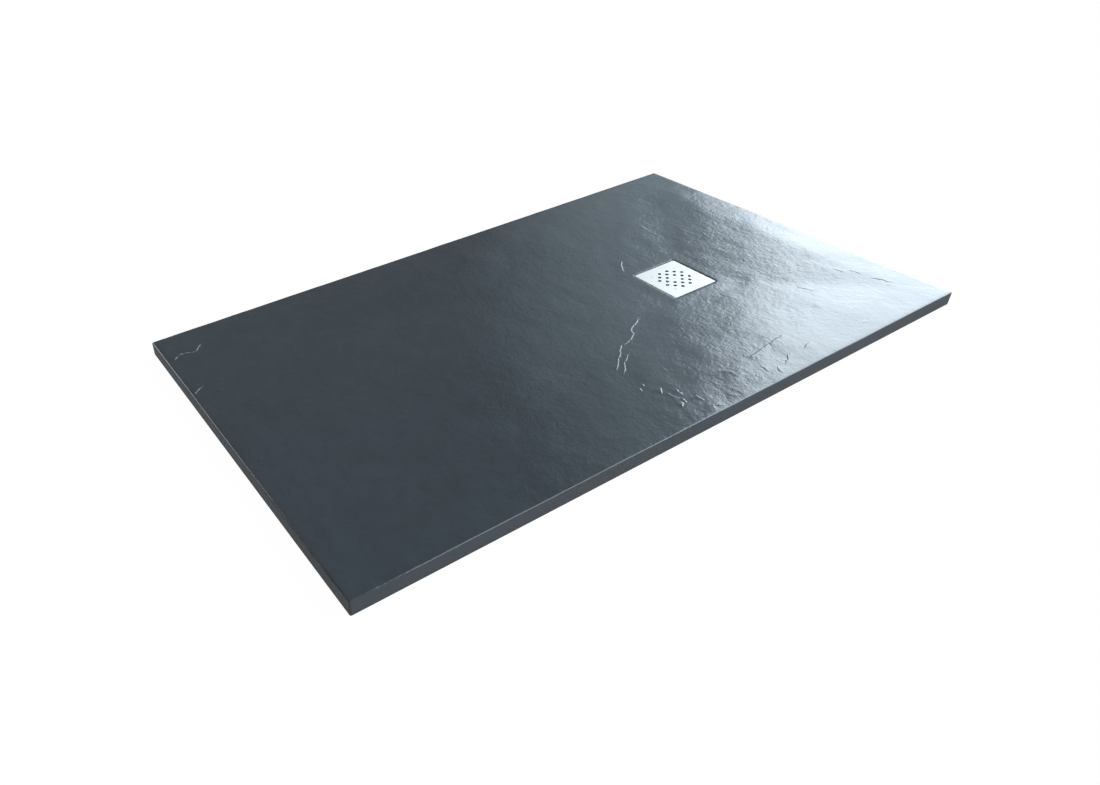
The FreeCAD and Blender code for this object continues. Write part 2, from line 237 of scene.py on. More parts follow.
CLEFTS = [
    (facing, height, [on_face(*point) for point in points])
    for facing, groups in (
        (TO_FRONT_RIGHT, (PAINTED_HIGHLIGHT_LIPS, LEFT_END_LIPS, BESIDE_GRILLE_LIPS, MIDDLE_LIPS,
                          FRONT_LIPS, BACK_RIGHT_LIPS)),
        (TO_BACK_LEFT, (FRONT_RIGHT_LIPS,)),
    )
    for group in groups
    for height, points in group
]

# ---- the tray's mesh ----
face_land = 3.2 * mm
edge_step = 1.4 * mm
coarse_step = 6 * mm
fine_step = 3.5 * mm
cross_step = 3.9 * mm
fine_from = -110 * mm
corner_steps = 4
arris_steps = 8
recess_edge_steps = 3
circle_steps = 96
cleft_bands = ((9 * mm, 1), (4.5 * mm, 2), (1.8 * mm, 1))
crease_angle = math.radians(32)
same_line = 0.01 * mm
slate_finish = 0
edge_finish = 1
back_finish = 2


Station = namedtuple("Station", "x y out_x out_y beside turning")


def smooth_step(low, high, value):
    share = np.clip((value - low) / (high - low), 0, 1)
    return share * share * (3 - 2 * share)


def fractal(x, y, size_x, size_y, octaves, layer):
    """Soft noise between about -1 and 1 at each point; each layer has its own pattern."""
    return np.array([
        noise.fractal(Vector((across, along, layer)), 1.0, 2.0, octaves)
        for across, along in zip(x / size_x, y / size_y)
    ])


def dish_level(x, y):
    """Four falls that meet in soft folds, from the rim down to the recess."""
    end_x = half_length - rim_width
    end_y = half_width - rim_width
    shares = np.array([
        (waste_x - recess_half - x) / (waste_x - recess_half + end_x),
        (x - waste_x - recess_half) / (end_x - waste_x - recess_half),
        (waste_y - recess_half - y) / (waste_y - recess_half + end_y),
        (y - waste_y - recess_half) / (end_y - waste_y - recess_half),
    ])
    rise = np.log(np.exp(fold_softness * np.clip(shares, -1, 2)).sum(axis=0)) / fold_softness
    rise = -np.log(np.exp(-rim_softness * rise) + math.exp(-rim_softness)) / rim_softness
    return dish_bottom + dish_fall * np.clip(rise, 0, 1)


def line_offsets(x, y, points, facing):
    """Distance past a ragged line towards its facing, and how far along the line it lies."""
    best = np.full(len(x), 1.0)
    signed = np.full(len(x), 1.0)
    along = np.zeros(len(x))
    travelled = 0.0
    for start, end in zip(points, points[1:]):
        start_x, start_y = start[0] * mm, start[1] * mm
        run_x, run_y = end[0] * mm - start_x, end[1] * mm - start_y
        length = math.hypot(run_x, run_y)
        share = ((x - start_x) * run_x + (y - start_y) * run_y) / length ** 2
        held = np.clip(share, 0, 1)
        off_x, off_y = x - start_x - held * run_x, y - start_y - held * run_y
        distance = np.hypot(off_x, off_y)
        side_x, side_y = -run_y, run_x
        if side_x * facing[0] + side_y * facing[1] < 0:
            side_x, side_y = -side_x, -side_y
        side = np.where(off_x * side_x + off_y * side_y < 0, -1.0, 1.0)
        nearer = distance < best
        signed = np.where(nearer, distance * side, signed)
        along = np.where(nearer, travelled + share * length, along)
        best = np.minimum(best, distance)
        travelled += length
    return signed, along, travelled


def cleft_distance(x, y):
    nearest = np.full(len(x), 1.0)
    for facing, _, points in CLEFTS:
        signed, _, _ = line_offsets(x, y, points, facing)
        nearest = np.minimum(nearest, np.abs(signed))
    return nearest


def lip_ends(taper, along, length):
    """1 along a lip, falling to 0 just past both its ends."""
    first = smooth_step(-lip_end_past, taper, along)
    return first * smooth_step(-lip_end_past, taper, length - along)


def cleft_relief(x, y):
    """The lips of all clefts: each swells towards its line and breaks off there."""
    relief = np.zeros(len(x))
    wander = lip_wander * fractal(x, y, lip_wander_size, lip_wander_size, 2, wander_layer)
    for facing, height, points in CLEFTS:
        signed, along, length = line_offsets(x, y, points, facing)
        taper = min(lip_taper_share * length, lip_taper_most)
        ends = lip_ends(taper, along, length)
        near = np.abs(signed) < lip_cut_off
        offset = signed + wander
        lip = np.exp(np.minimum(offset, 0) / lip_reach) * (1 - smooth_step(0, lip_width, offset))
        relief += np.where(near, height * mm * lip * ends, 0)
    return relief


def pale_lips(x, y):
    """Painted highlight: 1 along the first lips, in patches, fading within a millimetre."""
    pale = np.zeros(len(x))
    for facing, _, points in CLEFTS[:len(PAINTED_HIGHLIGHT_LIPS)]:
        signed, along, length = line_offsets(x, y, points, facing)
        ends = lip_ends(lip_highlight_taper, along, length)
        patches = fractal(x, y, lip_highlight_patch_size, lip_highlight_patch_size, 2, lip_highlight_layer)
        highlighted = smooth_step(-0.7, 0.3, patches)
        pale = np.maximum(pale, ends * highlighted * (1 - smooth_step(0, lip_highlight_width, np.abs(signed))))
    return pale


def bedding(x, y):
    """Thin layers that end in low, soft steps."""
    layers = fractal(x, y, bedding_size, bedding_stretch * bedding_size, 3, bedding_layer)
    levels = bedding_levels * (1 + layers) / 2
    whole = np.floor(levels)
    return bedding_step * (whole + smooth_step(0.2, 0.8, levels - whole) - bedding_levels / 2)


def streaks(x, y):
    """Long low grooves: along the short side at the back, turning towards the front."""
    turned = math.radians(streak_turn)
    across = math.cos(turned) * x + math.sin(turned) * y
    along = -math.sin(turned) * x + math.cos(turned) * y
    straight = fractal(x, y, streak_width, streak_length, 3, straight_layer)
    slanting = fractal(across, along, streak_width, streak_length, 3, slanting_layer)
    share = smooth_step(slanting_before, straight_beyond, y)
    return streak_height * (share * straight + (1 - share) * slanting)


def crinkle(x, y):
    """Short sharp wrinkles, bent by a slower noise."""
    bend_x, bend_y = [
        crinkle_bend * fractal(x, y, crinkle_bend_size, crinkle_bend_size, 2, layer)
        for layer in (bend_x_layer, bend_y_layer)
    ]
    length = crinkle_stretch * crinkle_size
    folds = fractal(x + bend_x, y + bend_y, crinkle_size, length, 2, crinkle_layer)
    from_corner = np.hypot(x + half_length, y - half_width)
    rougher = 1 + corner_crinkle * np.exp(-(from_corner / corner_reach) ** 2)
    return crinkle_height * rougher * (crinkle_middle - np.abs(folds))


def face_level(x, y):
    """Height of the slate face at each point."""
    to_recess = np.maximum(np.abs(x - waste_x), np.abs(y - waste_y)) - recess_half
    calm = smooth_step(0, relief_fade, to_recess)
    relief = swell_height * fractal(x, y, swell_size, swell_size, 2, swell_layer)
    relief += ripple_height * fractal(x, y, ripple_size, ripple_size, 2, ripple_layer)
    relief += bedding(x, y) + streaks(x, y) + crinkle(x, y)
    to_edge = np.minimum(half_length - np.abs(x), half_width - np.abs(y))
    rolled = np.clip((edge_roll_from - to_edge) / edge_roll_width, 0, 1)
    level = dish_level(x, y) + calm * (relief + cleft_relief(x, y) - face_shave)
    level -= edge_roll_drop * rolled * rolled
    return np.minimum(level - (1 - calm) * recess_shave, tray_top)


def spaced(stops, steps):
    """Grid lines from stop to stop, each stretch divided evenly by about its own step."""
    lines = [stops[0]]
    for start, end, step in zip(stops, stops[1:], steps):
        count = max(1, round((end - start) / step))
        lines += [start + (end - start) * (index + 1) / count for index in range(count)]
    return lines


def path_stations(centre, half, radius, grid_half, x_lines, y_lines, whole_arcs):
    """Points round a rounded rectangle, anticlockwise, each with the grid corner beside it."""
    stations = []
    for turn, (out_x, out_y) in enumerate(((1, 0), (0, 1), (-1, 0), (0, -1))):
        ahead_x, ahead_y = -out_y, out_x
        lines = y_lines if out_x else x_lines
        for line in lines if ahead_x + ahead_y > 0 else lines[::-1]:
            x = line if out_y else centre[0] + out_x * half[0]
            y = line if out_x else centre[1] + out_y * half[1]
            beside = (
                line if out_y else centre[0] + out_x * grid_half[0],
                line if out_x else centre[1] + out_y * grid_half[1],
            )
            stations.append(Station(x, y, out_x, out_y, beside, False))
        side_x, side_y = out_x + ahead_x, out_y + ahead_y
        corner_x = centre[0] + side_x * (half[0] - radius)
        corner_y = centre[1] + side_y * (half[1] - radius)
        beside = (centre[0] + side_x * grid_half[0], centre[1] + side_y * grid_half[1])
        steps = range(corner_steps + 1) if whole_arcs else range(1, corner_steps)
        for step in steps:
            way = math.pi / 2 * (turn + step / corner_steps)
            along_x, along_y = math.cos(way), math.sin(way)
            stations.append(Station(
                corner_x + radius * along_x, corner_y + radius * along_y,
                along_x, along_y, beside, True,
            ))
    return stations


def skin(mesh, lower, upper):
    """Faces between two closed loops of as many points."""
    for index in range(len(lower)):
        following = (index + 1) % len(lower)
        mesh.faces.new((lower[index], lower[following], upper[following], upper[index]))


def loop_edges(mesh, loop):
    edges = []
    for index in range(len(loop)):
        pair = (loop[index], loop[(index + 1) % len(loop)])
        edges.append(mesh.edges.get(pair) or mesh.edges.new(pair))
    return edges


def fill_between(mesh, outer, inner):
    edges = loop_edges(mesh, outer) + loop_edges(mesh, inner)
    bmesh.ops.triangle_fill(mesh, use_beauty=True, use_dissolve=False, edges=edges)


def circle_loop(mesh, radius, level):
    loop = []
    for index in range(circle_steps):
        angle = 2 * math.pi * index / circle_steps
        place = (waste_x + radius * math.cos(angle), waste_y + radius * math.sin(angle), level)
        loop.append(mesh.verts.new(place))
    return loop


def beside_stations(stations, offset):
    """Places moved out from the stations by an offset."""
    x = np.array([station.x + station.out_x * offset for station in stations])
    y = np.array([station.y + station.out_y * offset for station in stations])
    return x, y


def ring_of(mesh, stations, offset, levels):
    """A loop beside the stations, moved out by an offset, each point at its level."""
    return [mesh.verts.new(place) for place in zip(*beside_stations(stations, offset), levels)]


def grid_key(x, y):
    """Names a grid point; the grid's lines are more than a millimetre apart."""
    return round(x / mm), round(y / mm)


def face_grid(mesh, x_lines, y_lines, hole_half):
    """The flat grid that becomes the slate face, open over the recess."""
    grid = {}

    def corner(x, y):
        key = grid_key(x, y)
        if key not in grid:
            grid[key] = mesh.verts.new((x, y, tray_top))
        return grid[key]

    for left, right in zip(x_lines, x_lines[1:]):
        for front, back in zip(y_lines, y_lines[1:]):
            off_x = abs((left + right) / 2 - waste_x)
            off_y = abs((front + back) / 2 - waste_y)
            if max(off_x, off_y) < hole_half:
                continue
            places = ((left, front), (right, front), (right, back), (left, back))
            mesh.faces.new([corner(x, y) for x, y in places])


def refine_clefts(mesh):
    """Smaller faces beside the clefts, so that their lips are sharp."""
    for band, cuts in cleft_bands:
        mesh.verts.ensure_lookup_table()
        places = np.array([vert.co[:2] for vert in mesh.verts])
        inside = cleft_distance(places[:, 0], places[:, 1]) < band
        for vert in mesh.verts:
            vert.tag = bool(inside[vert.index]) and not vert.is_boundary
        chosen = [edge for edge in mesh.edges if edge.verts[0].tag and edge.verts[1].tag]
        bmesh.ops.subdivide_edges(mesh, edges=chosen, cuts=cuts, use_grid_fill=True)
        mesh.verts.index_update()
    large = [face for face in mesh.faces if len(face.verts) > 4]
    bmesh.ops.triangulate(mesh, faces=large)


def settle_face(mesh):
    places = np.array([vert.co[:2] for vert in mesh.verts])
    levels = face_level(places[:, 0], places[:, 1])
    for vert, level in zip(mesh.verts, levels):
        vert.co.z = level


def round_over(mesh, stations, first, levels, low, start, steps):
    """Rounded edge from a loop on the face, at an offset from the stations, down to a level."""
    loops = [first]
    for index in range(1, steps + 1):
        angle = math.pi / 2 * index / steps
        drops = [edge + (level - edge) * math.cos(angle) for level, edge in zip(levels, low)]
        loops.append(ring_of(mesh, stations, start * (1 - math.sin(angle)), drops))
        skin(mesh, loops[-2], loops[-1])
    return loops[-1]


def outer_side(mesh, grid, x_lines, y_lines):
    """Arris, side faces and foot bevel; returns the loop round the underside."""
    stations = path_stations(
        (0, 0), (half_length, half_width), corner_round, (x_lines[-1], y_lines[-1]),
        x_lines, y_lines, True,
    )
    levels = face_level(*beside_stations(stations, -arris_reach))
    arris = ring_of(mesh, stations, -arris_reach, levels)
    for index, station in enumerate(stations):
        following = (index + 1) % len(stations)
        near = grid[grid_key(*station.beside)]
        next_near = grid[grid_key(*stations[following].beside)]
        corners = [near, arris[index], arris[following]]
        mesh.faces.new(corners if next_near == near else corners + [next_near])
    low = [tray_top - arris_drop] * len(stations)
    side = round_over(mesh, stations, arris, levels, low, -arris_reach, arris_steps)
    above_foot = ring_of(mesh, stations, 0, [foot_bevel] * len(stations))
    foot = ring_of(mesh, stations, -foot_bevel, [0] * len(stations))
    skin(mesh, side, above_foot)
    skin(mesh, above_foot, foot)
    return foot


def recess_side(mesh, grid, x_lines, y_lines):
    """Rounded edge and walls of the recess; returns the loop round its floor."""
    hole_half = recess_half + recess_edge_round
    stations = path_stations(
        (waste_x, waste_y), (recess_half, recess_half), recess_corner_round,
        (hole_half, hole_half), x_lines, y_lines, False,
    )
    levels = face_level(*beside_stations(stations, recess_edge_round))
    loop = ring_of(mesh, stations, recess_edge_round, levels)
    for index, station in enumerate(stations):
        if not station.turning:
            mesh.verts.remove(loop[index])
            loop[index] = grid[grid_key(*station.beside)]
    for index, station in enumerate(stations):
        following = (index + 1) % len(stations)
        turning = [s for s in (station, stations[following]) if s.turning]
        if turning:
            mesh.faces.new((loop[index], loop[following], grid[grid_key(*turning[0].beside)]))
    low = [level - recess_edge_round for level in levels]
    wall = round_over(mesh, stations, loop, levels, low, recess_edge_round, recess_edge_steps)
    floor = ring_of(mesh, stations, 0, [recess_floor] * len(stations))
    skin(mesh, wall, floor)
    return floor


def paint_faces(mesh):
    """Slate face, trimmed resin elsewhere, and the raw back below."""
    for face in mesh.faces:
        middle = face.calc_center_median()
        in_recess = max(abs(middle.x - waste_x), abs(middle.y - waste_y)) < recess_half
        face.smooth = True
        if face.normal.z > 0.5 and not in_recess:
            face.material_index = slate_finish
        elif face.normal.z < -0.5:
            face.material_index = back_finish
        else:
            face.material_index = edge_finish
    for edge in mesh.edges:
        if len(edge.link_faces) == 2:
            edge.smooth = edge.calc_face_angle() < crease_angle


def make_tray(finishes):
    """One closed casting: slate face, recess, flange seat, waste hole, rebate and underside."""
    mesh = bmesh.new()
    hole_half = recess_half + recess_edge_round
    straight_half = recess_half - recess_corner_round
    end_x, end_y = half_length - face_land, half_width - face_land
    land = 2 * edge_step
    x_lines = spaced(
        (-end_x, land - end_x, fine_from, waste_x - hole_half, waste_x - straight_half,
         waste_x + straight_half, waste_x + hole_half, end_x - land, end_x),
        (edge_step, coarse_step, fine_step, fine_step, fine_step, fine_step, fine_step, edge_step),
    )
    y_lines = spaced(
        (-end_y, land - end_y, waste_y - hole_half, waste_y - straight_half,
         waste_y + straight_half, waste_y + hole_half, end_y - land, end_y),
        (edge_step,) + (cross_step,) * 5 + (edge_step,),
    )
    face_grid(mesh, x_lines, y_lines, hole_half)
    refine_clefts(mesh)
    settle_face(mesh)
    grid = {grid_key(*vert.co[:2]): vert for vert in mesh.verts if vert.is_boundary}
    foot = outer_side(mesh, grid, x_lines, y_lines)
    floor = recess_side(
        mesh, grid,
        [x for x in x_lines if abs(x - waste_x) < straight_half + same_line],
        [y for y in y_lines if abs(y - waste_y) < straight_half + same_line],
    )
    seat_rim = circle_loop(mesh, seat_radius, recess_floor)
    seat = circle_loop(mesh, seat_radius, seat_floor)
    hole_top = circle_loop(mesh, waste_hole_radius, seat_floor)
    hole_end = circle_loop(mesh, waste_hole_radius, rebate_depth)
    rebate = circle_loop(mesh, rebate_radius, rebate_depth)
    rebate_rim = circle_loop(mesh, rebate_radius, 0)
    for upper, lower in (
        (seat_rim, seat), (seat, hole_top), (hole_top, hole_end),
        (hole_end, rebate), (rebate, rebate_rim),
    ):
        skin(mesh, upper, lower)
    fill_between(mesh, floor, seat_rim)
    fill_between(mesh, foot, rebate_rim)
    bmesh.ops.recalc_face_normals(mesh, faces=mesh.faces)
    paint_faces(mesh)
    tray = add_piece("slate_tray", mesh, finishes)
    places = np.array([vert.co[:2] for vert in tray.data.vertices])
    # The painted highlight along the first lips, kept as a point attribute.
    pale = tray.data.attributes.new("pale_lips", "FLOAT", "POINT")
    pale.data.foreach_set("value", pale_lips(places[:, 0], places[:, 1]))
    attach(tray, "base")
    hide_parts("tray")


def add_piece(name, mesh, finishes):
    data = bpy.data.meshes.new(name)
    mesh.to_mesh(data)
    mesh.free()
    for finish in finishes:
        data.materials.append(finish)
    piece = bpy.data.objects.new(name, data)
    bpy.context.scene.collection.objects.link(piece)
    return piece


# ---- shader sums: a wrapped socket, and a maker of nodes ----
class Level:
    """A shader socket that takes part in sums, products and powers."""

    def __init__(self, finish, socket):
        self.finish = finish
        self.socket = socket

    def __add__(self, other):
        return self.finish.sum_of("ADD", self, other)

    def __sub__(self, other):
        return self.finish.sum_of("SUBTRACT", self, other)

    def __rsub__(self, other):
        return self.finish.sum_of("SUBTRACT", other, self)

    def __mul__(self, other):
        return self.finish.sum_of("MULTIPLY", self, other)

    def __pow__(self, other):
        return self.finish.sum_of("POWER", self, other)

    __radd__ = __add__
    __rmul__ = __mul__


class Finish:
    """The nodes of one material or of the world."""

    def __init__(self, owner):
        owner.use_nodes = True
        self.owner = owner
        self.tree = owner.node_tree
        self.tree.nodes.clear()

    def node(self, kind, settings, sockets, output=0):
        """One node: settings first, then values or links of its sockets."""
        made = self.tree.nodes.new(kind)
        for name, setting in settings.items():
            if name == "stops":
                self.set_stops(made.color_ramp, setting)
            else:
                setattr(made, name, setting)
        for name, value in sockets.items():
            if isinstance(value, Level):
                self.tree.links.new(value.socket, made.inputs[name])
            else:
                made.inputs[name].default_value = value
        return Level(self, made.outputs[output])

    def set_stops(self, ramp, stops):
        """A ramp's stops as pairs of place and grey level."""
        while len(ramp.elements) < len(stops):
            ramp.elements.new(1.0)
        for element, (place, grey) in zip(ramp.elements, stops):
            element.position = place
            element.color = (grey, grey, grey, 1)

    def sum_of(self, operation, *values):
        return self.node("ShaderNodeMath", {"operation": operation}, dict(enumerate(values)))

    def place(self):
        return self.node("ShaderNodeTexCoord", {}, {}, "Object")

    def cloud(self, size, detail=2.0, stretch=(1, 1, 1), bend=0.0):
        """Soft noise; a stretch under 1 makes it longer that way, a bend makes it swirl."""
        vector = self.node(
            "ShaderNodeVectorMath", {"operation": "MULTIPLY"}, {0: self.place(), 1: stretch}
        )
        return self.node(
            "ShaderNodeTexNoise", {},
            {"Vector": vector, "Scale": 1 / size, "Detail": detail, "Distortion": bend},
        )

    def folds(self, size, detail=2.0, stretch=(1, 1, 1), bend=0.0):
        """Noise folded at its middle, so that it has thin creases at 0."""
        return self.sum_of("ABSOLUTE", self.cloud(size, detail, stretch, bend) - 0.5)

    def ramp(self, level, *stops):
        """Spread a level by stops, each a place and a grey."""
        return self.node("ShaderNodeValToRGB", {"stops": stops}, {0: level})

    def soft_ramp(self, level, *stops):
        """A ramp without corners at its stops."""
        made = self.ramp(level, *stops)
        made.socket.node.color_ramp.interpolation = "EASE"
        return made

    def blend(self, first, second, share):
        """Mix two colours."""
        return self.node(
            "ShaderNodeMix", {"data_type": "RGBA"}, {0: share, 6: first, 7: second}, 2
        )

    def spot(self, x, y, radius):
        """1 on an upright line through a place, fading to 0 at a radius."""
        flat = self.node(
            "ShaderNodeVectorMath", {"operation": "MULTIPLY"}, {0: self.place(), 1: (1, 1, 0)}
        )
        distance = self.node(
            "ShaderNodeVectorMath", {"operation": "DISTANCE"}, {0: flat, 1: (x, y, 0)}, "Value"
        )
        return self.sum_of("MAXIMUM", 1 - distance * (1 / radius), 0.0)

    def close(self, kind, shader):
        """Link a shader to the material's or the world's output."""
        end = self.tree.nodes.new(kind)
        self.tree.links.new(shader.socket, end.inputs["Surface"])
        return self.owner

    def surface(self, color, roughness, height=None, **constants):
        """Close the material; a height is in millimetres."""
        sockets = {"Base Color": color, "Roughness": roughness}
        if height is not None:
            sockets["Normal"] = self.node(
                "ShaderNodeBump", {}, {"Height": height, "Distance": mm, "Strength": 1.0}
            )
        for name, value in constants.items():
            sockets[name.replace("_", " ")] = value
        shader = self.node("ShaderNodeBsdfPrincipled", {}, sockets)
        return self.close("ShaderNodeOutputMaterial", shader)


def new_finish(name):
    return Finish(bpy.data.materials.new(name))


def tone(red, green, blue):
    return (red, green, blue, 1)


# ---- finishes of the tray ----
def slate_face_finish():
    """Blue-grey cast slate: cloudy, finely grained, with a satin seal that varies, and a painted
    highlight along some lips.
    """
    finish = new_finish("slate_face")
    clouds = finish.cloud(170 * mm, 3, bend=0.6)
    mottle = finish.cloud(24 * mm, 3, stretch=(1, 0.6, 1), bend=0.8)
    grain = finish.cloud(8 * mm, 2, bend=0.3)
    creases = finish.folds(17 * mm, 2, bend=0.5)
    pores = finish.cloud(1.1 * mm, 1)
    shade = clouds * 0.3 + mottle * 0.4 + grain * 0.2 + pores * 0.1
    spread = finish.ramp(shade, (0.34, 0.0), (0.66, 1.0))
    color = finish.blend(tone(0.0245, 0.0300, 0.0350), tone(0.0315, 0.0382, 0.0445), spread)
    # Painted highlight: the first lips turn pale in the base colour, standing in for light caught
    # on their edges.
    lips = finish.node("ShaderNodeAttribute", {"attribute_name": "pale_lips"}, {}, "Fac")
    color = finish.blend(color, tone(0.26, 0.29, 0.31), lips)
    wear = finish.ramp(clouds * 0.6 + mottle * 0.4, (0.36, 0.0), (0.64, 1.0))
    roughness = 0.09 + wear * 0.04 + grain * 0.04
    height = grain * 0.16 + creases * 0.42 + mottle * 0.12 + pores * 0.01
    return finish.surface(color, roughness, height)


def trimmed_edge_finish():
    """Side faces and recess: the same resin, sawn and rubbed smooth, a little paler."""
    finish = new_finish("trimmed_resin_edge")
    drift = finish.cloud(60 * mm, 3)
    specks = finish.cloud(1.6 * mm, 2)
    rub = finish.cloud(2.2 * mm, 3, stretch=(0.15, 0.15, 1))
    color = finish.blend(
        tone(0.0360, 0.0425, 0.0475), tone(0.0475, 0.0550, 0.0610), drift * 0.5 + specks * 0.5
    )
    return finish.surface(
        color, 0.6 + rub * 0.15, specks * 0.05 + rub * 0.05, Specular_IOR_Level=0.25
    )


def raw_back_finish():
    """Underside: resin levelled in the mould, chalky, with fine pits."""
    finish = new_finish("raw_resin_back")
    drift = finish.cloud(110 * mm, 4, bend=0.5)
    pits = finish.ramp(finish.cloud(3 * mm, 2), (0.30, 0.0), (0.42, 1.0))
    trowel = finish.cloud(30 * mm, 3, stretch=(0.2, 1, 1), bend=1.0)
    color = finish.blend(tone(0.10, 0.105, 0.11), tone(0.17, 0.175, 0.18), drift)
    return finish.surface(color, 0.7 + trowel * 0.2, pits * 0.15 + trowel * 0.3)


# ---- the grille plate, cut by a node tree ----
hole_pitch = 15.5 * mm
hole_radius = 3.75 * mm
hole_rows = 5
plate_corner_round = 2 * mm
plate_edge_round = 0.3 * mm
hole_sides = 40
plate_corner_steps = 6
middle_bare_to = 0.5
holes_reach_to = 2.5
grid_turn = math.radians(45)
plate_edge_steps = 2
plate_edge_angle = math.radians(50)
merge_reach = 0.01 * mm
outline_margin = 2 * mm
pin_radius = 2 * mm
weld_mark_radius = 3 * mm


def tree_node(tree, kind, settings=None, sockets=None):
    """One geometry node: settings first, then values or links of its sockets."""
    made = tree.nodes.new(kind)
    for name, setting in (settings or {}).items():
        setattr(made, name, setting)
    for name, value in (sockets or {}).items():
        if isinstance(value, bpy.types.NodeSocket):
            tree.links.new(value, made.inputs[name])
        else:
            made.inputs[name].default_value = value
    return made


def grille_tree():
    """Rounded square with a grid of holes, turned by 45 degrees, as a closed plate."""
    tree = bpy.data.node_groups.new("perforated_plate", "GeometryNodeTree")
    for name, kind in (
        ("Side", "NodeSocketFloat"), ("Corner Round", "NodeSocketFloat"),
        ("Thickness", "NodeSocketFloat"), ("Hole Pitch", "NodeSocketFloat"),
        ("Hole Radius", "NodeSocketFloat"), ("Place", "NodeSocketVector"),
        ("Finish", "NodeSocketMaterial"),
    ):
        tree.interface.new_socket(name, in_out="INPUT", socket_type=kind)
    tree.interface.new_socket("Plate", in_out="OUTPUT", socket_type="NodeSocketGeometry")
    given = tree.nodes.new("NodeGroupInput").outputs

    def number(operation, *values):
        sockets = dict(enumerate(values))
        return tree_node(tree, "ShaderNodeMath", {"operation": operation}, sockets).outputs[0]

    square = tree_node(tree, "GeometryNodeCurvePrimitiveQuadrilateral", {}, {
        "Width": given["Side"], "Height": given["Side"],
    })
    outline = tree_node(tree, "GeometryNodeFilletCurve", {"mode": "POLY"}, {
        "Curve": square.outputs[0], "Radius": given["Corner Round"],
        "Count": plate_corner_steps,
    })
    spread = number("MULTIPLY", given["Hole Pitch"], hole_rows - 1)
    spots = tree_node(tree, "GeometryNodeMeshGrid", {}, {
        "Size X": spread, "Size Y": spread, "Vertices X": hole_rows, "Vertices Y": hole_rows,
    })
    position = tree_node(tree, "GeometryNodeInputPosition")
    reach = tree_node(tree, "ShaderNodeVectorMath", {"operation": "LENGTH"}, {
        0: position.outputs[0],
    })
    steps_out = number("DIVIDE", reach.outputs["Value"], given["Hole Pitch"])
    in_middle = number("LESS_THAN", steps_out, middle_bare_to)
    bare = number("ADD", in_middle, number("GREATER_THAN", steps_out, holes_reach_to))
    kept = tree_node(tree, "GeometryNodeDeleteGeometry", {"domain": "POINT"}, {
        "Geometry": spots.outputs["Mesh"], "Selection": bare,
    })
    turned = tree_node(tree, "GeometryNodeTransform", {}, {
        "Geometry": kept.outputs[0], "Rotation": (0, 0, grid_turn),
    })
    circle = tree_node(tree, "GeometryNodeCurvePrimitiveCircle", {"mode": "RADIUS"}, {
        "Resolution": hole_sides, "Radius": given["Hole Radius"],
    })
    holes = tree_node(tree, "GeometryNodeInstanceOnPoints", {}, {
        "Points": turned.outputs[0], "Instance": circle.outputs[0],
    })
    cut_lines = tree_node(tree, "GeometryNodeRealizeInstances", {}, {"Geometry": holes.outputs[0]})
    lines = tree.nodes.new("GeometryNodeJoinGeometry")
    tree.links.new(outline.outputs[0], lines.inputs[0])
    tree.links.new(cut_lines.outputs[0], lines.inputs[0])
    sheet = tree_node(tree, "GeometryNodeFillCurve", {"mode": "TRIANGLES"}, {
        "Curve": lines.outputs[0],
    })
    raised = tree_node(tree, "GeometryNodeExtrudeMesh", {"mode": "FACES"}, {
        "Mesh": sheet.outputs[0], "Offset Scale": given["Thickness"], "Individual": False,
    })
    under = tree_node(tree, "GeometryNodeFlipFaces", {}, {"Mesh": sheet.outputs[0]})
    both = tree.nodes.new("GeometryNodeJoinGeometry")
    tree.links.new(raised.outputs[0], both.inputs[0])
    tree.links.new(under.outputs[0], both.inputs[0])
    closed = tree_node(tree, "GeometryNodeMergeByDistance", {}, {
        "Geometry": both.outputs[0], "Distance": merge_reach,
    })
    placed = tree_node(tree, "GeometryNodeTransform", {}, {
        "Geometry": closed.outputs[0], "Translation": given["Place"],
    })
    whole = tree_node(tree, "GeometryNodeRealizeInstances", {}, {"Geometry": placed.outputs[0]})
    finished = tree_node(tree, "GeometryNodeSetMaterial", {}, {
        "Geometry": whole.outputs[0], "Material": given["Finish"],
    })
    result = tree.nodes.new("NodeGroupOutput")
    tree.links.new(finished.outputs[0], result.inputs[0])
    return tree


def grown_by_tree(name, tree, values, bevel=None):
    """Run a node tree with its inputs and keep the result as a plain mesh."""
    seed = bpy.data.objects.new(name + "_seed", bpy.data.meshes.new(name + "_seed"))
    bpy.context.scene.collection.objects.link(seed)
    grower = seed.modifiers.new("grower", "NODES")
    grower.node_group = tree
    for item in tree.interface.items_tree:
        if item.in_out == "INPUT" and item.name in values:
            grower[item.identifier] = values[item.name]
    if bevel:
        edge = seed.modifiers.new("edge", "BEVEL")
        edge.width = bevel
        edge.segments = plate_edge_steps
        edge.limit_method = "ANGLE"
        edge.angle_limit = plate_edge_angle
    grown = seed.evaluated_get(bpy.context.evaluated_depsgraph_get())
    data = bpy.data.meshes.new_from_object(grown)
    data.name = name
    bpy.data.objects.remove(seed)
    piece = bpy.data.objects.new(name, data)
    bpy.context.scene.collection.objects.link(piece)
    return piece


def make_grille(finish, shaded_walls):
    plate = grown_by_tree("steel_grille", grille_tree(), {
        "Side": 2 * plate_half,
        "Corner Round": plate_corner_round,
        "Thickness": plate_high.z - plate_low.z,
        "Hole Pitch": hole_pitch,
        "Hole Radius": hole_radius,
        "Place": (waste_x, waste_y, plate_low.z),
        "Finish": finish,
    }, plate_edge_round)
    # The hole walls take the second finish, which is dark as painted shade.
    plate.data.materials.append(shaded_walls)
    for face in plate.data.polygons:
        off_x, off_y = abs(face.center.x - waste_x), abs(face.center.y - waste_y)
        if abs(face.normal.z) < 0.3 and max(off_x, off_y) < plate_half - outline_margin:
            face.material_index = 1
    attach(plate, "grille")
    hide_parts("grille_plate")


